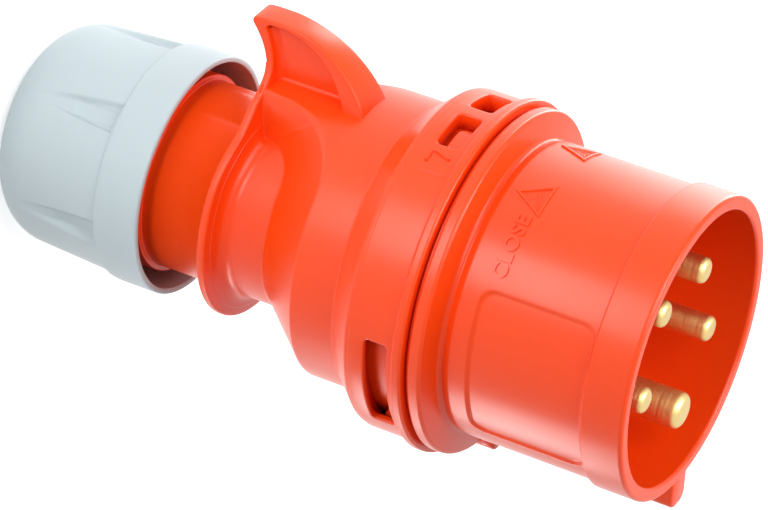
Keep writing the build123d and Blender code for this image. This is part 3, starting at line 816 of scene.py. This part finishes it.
def pin_tree():
    """Return a node tree that sets turned pins with round-edged tips round a circle."""
    inputs = dict.fromkeys(("Places", "First", "Last"), "Int")
    inputs |= dict.fromkeys(("Turn", "Circle", "Radius", "Foot", "Tip", "Tip round"), "Float")
    inputs |= {"Barrel radius": "Float", "Barrel foot": "Float", "Material": "Material"}
    tree, given = open_tree("turned_pins", inputs)
    nodes, links = tree.nodes, tree.links

    def maths(operation, first, second=None):
        node = nodes.new("ShaderNodeMath")
        node.operation = operation
        for socket, value in zip(node.inputs, (first, second)):
            if isinstance(value, (int, float)):
                socket.default_value = value
            elif value is not None:
                links.new(value, socket)
        return node.outputs[0]

    def turned(foot, top, edge, radius):
        """Return a bar along Z whose top edge is rounded."""
        bar = nodes.new("GeometryNodeMeshCylinder")
        bar.inputs["Vertices"].default_value = 64
        bar.inputs["Side Segments"].default_value = 56
        bar.inputs["Fill Segments"].default_value = 3
        bar.inputs["Radius"].default_value = 1.0
        bar.inputs["Depth"].default_value = 1.0
        place = nodes.new("GeometryNodeInputPosition")
        parts = nodes.new("ShaderNodeSeparateXYZ")
        links.new(place.outputs[0], parts.inputs[0])
        below = maths("POWER", maths("SUBTRACT", 0.5, parts.outputs["Z"]), 2.0)
        drop = maths("MULTIPLY", maths("SUBTRACT", top, foot), below)
        curl = maths("MAXIMUM", maths("SUBTRACT", 1.0, maths("DIVIDE", drop, edge)), 0.0)
        swell = maths("SQRT", maths("SUBTRACT", 1.0, maths("MULTIPLY", curl, curl)))
        wide = maths("ADD", maths("SUBTRACT", radius, edge), maths("MULTIPLY", edge, swell))
        moved = nodes.new("ShaderNodeCombineXYZ")
        links.new(maths("MULTIPLY", parts.outputs["X"], wide), moved.inputs["X"])
        links.new(maths("MULTIPLY", parts.outputs["Y"], wide), moved.inputs["Y"])
        links.new(maths("SUBTRACT", top, drop), moved.inputs["Z"])
        shaped = nodes.new("GeometryNodeSetPosition")
        links.new(bar.outputs["Mesh"], shaped.inputs["Geometry"])
        links.new(moved.outputs[0], shaped.inputs["Position"])
        return shaped.outputs["Geometry"]

    both = nodes.new("GeometryNodeJoinGeometry")
    pin = turned(given["Foot"], given["Tip"], given["Tip round"], given["Radius"])
    links.new(pin, both.inputs[0])
    barrel = turned(given["Barrel foot"], given["Foot"], given["Tip round"], given["Barrel radius"])
    links.new(barrel, both.inputs[0])
    circle = nodes.new("GeometryNodeMeshCircle")
    links.new(given["Places"], circle.inputs["Vertices"])
    links.new(given["Circle"], circle.inputs["Radius"])
    turn = nodes.new("GeometryNodeTransform")
    spin = nodes.new("ShaderNodeCombineXYZ")
    links.new(given["Turn"], spin.inputs["Z"])
    links.new(circle.outputs["Mesh"], turn.inputs["Geometry"])
    links.new(spin.outputs[0], turn.inputs["Rotation"])
    place = nodes.new("GeometryNodeInstanceOnPoints")
    links.new(turn.outputs["Geometry"], place.inputs["Points"])
    links.new(both.outputs[0], place.inputs["Instance"])
    number = nodes.new("GeometryNodeInputIndex").outputs[0]
    from_first = maths("GREATER_THAN", number, maths("SUBTRACT", given["First"], 0.5))
    to_last = maths("LESS_THAN", number, maths("ADD", given["Last"], 0.5))
    links.new(maths("MULTIPLY", from_first, to_last), place.inputs["Selection"])
    close_tree(tree, place.outputs["Instances"], given["Material"])
    return tree


def grow(name, tree, values, base=None):
    """Return a plain mesh object made by a node tree from its named inputs."""
    base = base or bpy.data.meshes.new(name + "_carrier")
    carrier = bpy.data.objects.new(name + "_carrier", base)
    bpy.context.scene.collection.objects.link(carrier)
    modifier = carrier.modifiers.new("nodes", "NODES")
    modifier.node_group = tree
    for item in tree.interface.items_tree:
        if item.in_out == "INPUT" and item.name in values:
            modifier[item.identifier] = values[item.name]
    evaluated = carrier.evaluated_get(bpy.context.evaluated_depsgraph_get())
    mesh = bpy.data.meshes.new_from_object(evaluated)
    mesh.name = name
    mesh.shade_smooth()
    bpy.data.objects.remove(carrier)
    piece = bpy.data.objects.new(name, mesh)
    bpy.context.scene.collection.objects.link(piece)
    return piece


brass = turned_metal("brass", (0.88, 0.68, 0.30), (0.76, 0.55, 0.20))
pins_tree = pin_tree()
pin_low, pin_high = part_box("pin_l1")
earth_low, earth_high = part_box("pin_earth")
pin_circle = (earth_low.y + earth_high.y) / 2
pin_sizes = {
    "Places": 5,
    "First": 1,
    "Last": 4,
    "Turn": pi / 2,
    "Circle": pin_circle,
    "Radius": 2.5 * MM,
    "Foot": 86 * MM,
    "Tip": pin_high.z,
    "Tip round": 1.1 * MM,
    "Barrel radius": 4.6 * MM,
    "Barrel foot": pin_low.z,
    "Material": brass,
}
phase_pins = grow("phase_pins", pins_tree, pin_sizes)
earth_sizes = {"First": 0, "Last": 0, "Radius": 3.5 * MM, "Tip round": 1.4 * MM}
earth_pin = grow("earth_pin", pins_tree, pin_sizes | earth_sizes | {"Tip": earth_high.z})
for piece in (phase_pins, earth_pin):
    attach(piece, "front")
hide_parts("pin_l1", "pin_l2", "pin_l3", "pin_neutral")
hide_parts("pin_earth")

# Twist marks: moulded in low relief. A word and two triangles on the shroud show where it locks and
# where it comes free, and a pointer on the collar is turned to them.


def wrapped(points, radius, angle, z):
    """Return flat points (along, up, out) laid on a cylinder, with their tops towards -Z."""
    places = []
    for along, up, out in points:
        turn = radians(angle) - along / radius
        places.append(((radius + out) * cos(turn), (radius + out) * sin(turn), z - up))
    return places


def raised_rim(corners, width, height, steps):
    """Return points and faces of a raised bar along the sides of a triangle."""
    sides = [(Vector(corners[n - 2]) - Vector(corners[n - 1])).length for n in range(3)]
    weighted = (Vector(corner) * side for corner, side in zip(corners, sides))
    centre = sum(weighted, Vector((0, 0))) / sum(sides)
    a, b, c = (Vector(corner) for corner in corners)
    inner_radius = abs((b - a).cross(c - a)) / sum(sides)
    path = []
    for n in range(3):
        for step in range(steps):
            path.append(Vector(corners[n]).lerp(Vector(corners[(n + 1) % 3]), step / steps))
    points = []
    for inset, out in ((0, -0.05), (0.1, height), (width - 0.1, height), (width, -0.05)):
        for place in path:
            spot = centre + (place - centre) * (1 - inset / inner_radius)
            points.append((spot.x, spot.y, out))
    return points, tube_faces(4, len(path))


def stipple_tree():
    """Return a node tree that strews small domes over a flat face."""
    inputs = {"Geometry": "Geometry", "Spacing": "Float", "Dot radius": "Float", "Seed": "Int"}
    tree, given = open_tree("stipple", inputs | {"Material": "Material"})
    nodes, links = tree.nodes, tree.links
    strew = nodes.new("GeometryNodeDistributePointsOnFaces")
    strew.distribute_method = "POISSON"
    strew.inputs["Density Max"].default_value = 2e7
    links.new(given["Geometry"], strew.inputs["Mesh"])
    links.new(given["Spacing"], strew.inputs["Distance Min"])
    links.new(given["Seed"], strew.inputs["Seed"])
    dot = nodes.new("GeometryNodeMeshIcoSphere")
    dot.inputs["Subdivisions"].default_value = 2
    links.new(given["Dot radius"], dot.inputs["Radius"])
    place = nodes.new("GeometryNodeInstanceOnPoints")
    links.new(strew.outputs["Points"], place.inputs["Points"])
    links.new(dot.outputs["Mesh"], place.inputs["Instance"])
    close_tree(tree, place.outputs["Instances"], given["Material"])
    return tree


def flat_word(word, height, rise):
    """Return points and faces of a word in low relief, centred on its middle."""
    curve = bpy.data.curves.new(word, "FONT")
    curve.body = word
    curve.align_x, curve.align_y = "CENTER", "CENTER"
    curve.size, curve.extrude, curve.space_character = height * 1.4, rise, 1.1
    curve.offset = 0.1
    carrier = bpy.data.objects.new(word, curve)
    bpy.context.scene.collection.objects.link(carrier)
    evaluated = carrier.evaluated_get(bpy.context.evaluated_depsgraph_get())
    mesh = bpy.data.meshes.new_from_object(evaluated)
    points = [tuple(vertex.co) for vertex in mesh.vertices]
    faces = [tuple(polygon.vertices) for polygon in mesh.polygons]
    bpy.data.objects.remove(carrier)
    bpy.data.meshes.remove(mesh)
    return points, faces


rim_width, rim_height, word_height, word_rise = 0.6, 0.3, 2.75, 0.3
triangle = [(-3.9, -3.25), (3.9, -3.25), (0, 3.25)]
triangle_z, triangle_angles = 106.85, (-71.8, -108.2)
word_z, word_angle = 107.9, -50.2
mark_points, mark_faces = [], []
word_points, word_faces = flat_word("CLOSE", word_height, word_rise)
word_points = wrapped(word_points, shroud_radius, word_angle, word_z)
join(mark_points, mark_faces, word_points, word_faces)
rim_points, rim_faces = raised_rim(triangle, rim_width, rim_height, 8)
for angle in triangle_angles:
    wrapped_rim = wrapped(rim_points, shroud_radius, angle, triangle_z)
    join(mark_points, mark_faces, wrapped_rim, rim_faces)
field_points = [(x * 0.78 * MM, (y * 0.78 - 0.25) * MM, 0) for x, y in triangle]
field = bpy.data.meshes.new("field")
field.from_pydata(field_points, [], [(0, 1, 2)])
stipple = grow(
    "stipple",
    stipple_tree(),
    {"Spacing": 0.34 * MM, "Dot radius": 0.13 * MM, "Seed": 3, "Material": red_plastic},
    field,
)
dot_points = [tuple(vertex.co / MM) for vertex in stipple.data.vertices]
dot_faces = [tuple(polygon.vertices) for polygon in stipple.data.polygons]
bpy.data.objects.remove(stipple)
for angle in triangle_angles:
    wrapped_dots = wrapped(dot_points, shroud_radius, angle, triangle_z)
    join(mark_points, mark_faces, wrapped_dots, dot_faces)
twist_marks = add_mesh("twist_marks", mark_points, mark_faces, red_plastic)
twist_marks.data.set_sharp_from_angle(angle=radians(40))
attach(twist_marks, "front")


def rib(start, end, width, height):
    """Return points and faces of a straight raised rib whose ends slope down."""
    along = (Vector(end) - Vector(start)).normalized()
    across = Vector((-along.y, along.x))
    shape = ((-0.5, 0.0), (-0.36, 0.75), (-0.15, 1.0), (0.15, 1.0), (0.36, 0.75), (0.5, 0.0))
    points, faces = [], []
    for part in (0, 0.06, 0.3, 0.5, 0.7, 0.94, 1):
        for side, rise in shape:
            place = Vector(start).lerp(Vector(end), part) + across * (side * width)
            points.append((place.x, place.y, rise * height - 0.05 if 0 < part < 1 else -0.05))
    for k in range(6):
        for n in range(len(shape) - 1):
            corner = k * len(shape) + n
            faces.append((corner, corner + len(shape), corner + len(shape) + 1, corner + 1))
    return points, faces


pointer_z, pointer_angle = 89.9, -67.6
pointer_points, pointer_faces = [], []
for start, end, width, height in (
    ((1.3, 2.0), (-1.1, 2.0), 0.8, 0.55),
    ((1.6, 1.5), (0.4, -2.0), 0.6, 0.55),
    ((-3.0, 2.4), (-3.0, -2.9), 0.5, 0.2),
):
    rib_points, rib_faces = rib(start, end, width, height)
    rib_points = wrapped(rib_points, collar_radius, pointer_angle, pointer_z)
    join(pointer_points, pointer_faces, rib_points, rib_faces)
collar_pointer = add_mesh("collar_pointer", pointer_points, pointer_faces, red_plastic)
collar_pointer.data.set_sharp_from_angle(angle=radians(40))
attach(collar_pointer, "handle")

# Stage: a pale floor that the plug stands on, low strip lights that draw the highlights along it,
# a softbox over the mouth and one over the fin, and the photo's camera.


def seen_rays(tree):
    """Return a value that is 1 in what the camera, a reflection or a clear body shows."""
    nodes, links = tree.nodes, tree.links
    sight = nodes.new("ShaderNodeLightPath").outputs
    seen = sight["Is Camera Ray"]
    for ray in ("Is Glossy Ray", "Is Transmission Ray"):
        either = nodes.new("ShaderNodeMath")
        either.operation = "MAXIMUM"
        links.new(seen, either.inputs[0])
        links.new(sight[ray], either.inputs[1])
        seen = either.outputs[0]
    return seen


floor_size, floor_lift, room_light = 6.0, 0.65, 0.31
floor_material = bpy.data.materials.new("pale_floor")
floor_material.use_nodes = True
nodes, links = floor_material.node_tree.nodes, floor_material.node_tree.links
shader = nodes["Principled BSDF"]
shader.inputs["Base Color"].default_value = (0.85, 0.85, 0.85, 1)
shader.inputs["Roughness"].default_value = 0.9
shader.inputs["Specular IOR Level"].default_value = 0.1
shader.inputs["Emission Color"].default_value = (1, 1, 1, 1)
lift = nodes.new("ShaderNodeMath")
lift.operation = "MULTIPLY"
lift.inputs[1].default_value = floor_lift
links.new(seen_rays(floor_material.node_tree), lift.inputs[0])
links.new(lift.outputs[0], shader.inputs["Emission Strength"])
floor_corners = ((-1, -1), (1, -1), (1, 1), (-1, 1))
floor_points = [(x * floor_size, y * floor_size, 0) for x, y in floor_corners]
floor_mesh = bpy.data.meshes.new("floor")
floor_mesh.from_pydata(floor_points, [], [(0, 1, 2, 3)])
floor_mesh.materials.append(floor_material)
floor = bpy.data.objects.new("floor", floor_mesh)
bpy.context.scene.collection.objects.link(floor)

world = bpy.data.worlds.new("white_room")
bpy.context.scene.world = world
world.use_nodes = True
nodes, links = world.node_tree.nodes, world.node_tree.links
backdrop = nodes["Background"]
backdrop.inputs["Color"].default_value = (1, 1, 1, 1)
strength = nodes.new("ShaderNodeMapRange")
strength.inputs["To Min"].default_value = room_light
strength.inputs["To Max"].default_value = 1.0
links.new(seen_rays(world.node_tree), strength.inputs["Value"])
links.new(strength.outputs["Result"], backdrop.inputs["Strength"])

aim = Vector((0, 0, 0.07))
for name, azimuth, away, z, width, height, power in (
    ("front_strip", -45, 0.27, 0.025, 0.14, 0.04, 0.21),
    ("side_strip", 72, 0.27, 0.025, 0.15, 0.04, 0.14),
    ("back_strip", -160, 0.42, 0.07, 0.45, 0.12, 1.2),
    ("mouth_softbox", -140, 0.25, 0.90, 0.30, 0.30, 4.2),
    ("fin_softbox", -62, 0.50, 0.60, 0.40, 0.40, 2.3),
):
    light = bpy.data.lights.new(name, "AREA")
    light.shape = "RECTANGLE"
    light.size, light.size_y, light.energy = width, height, power
    lamp = bpy.data.objects.new(name, light)
    lamp.location = (away * cos(radians(azimuth)), away * sin(radians(azimuth)), z)
    lamp.rotation_euler = (aim - lamp.location).to_track_quat("-Z", "Y").to_euler()
    bpy.context.scene.collection.objects.link(lamp)

camera_data = bpy.data.cameras.new("camera")
camera_data.sensor_width = 36.0
camera_data.lens = 210.9375
camera = bpy.data.objects.new("camera", camera_data)
camera.location = (0.6101335, -0.4566769, 0.3834854)
camera.rotation_euler = (radians(-39.46635), radians(-60.90759), radians(-173.70387))
bpy.context.scene.collection.objects.link(camera)
bpy.context.scene.camera = camera
bpy.context.scene.view_settings.view_transform = "Standard"
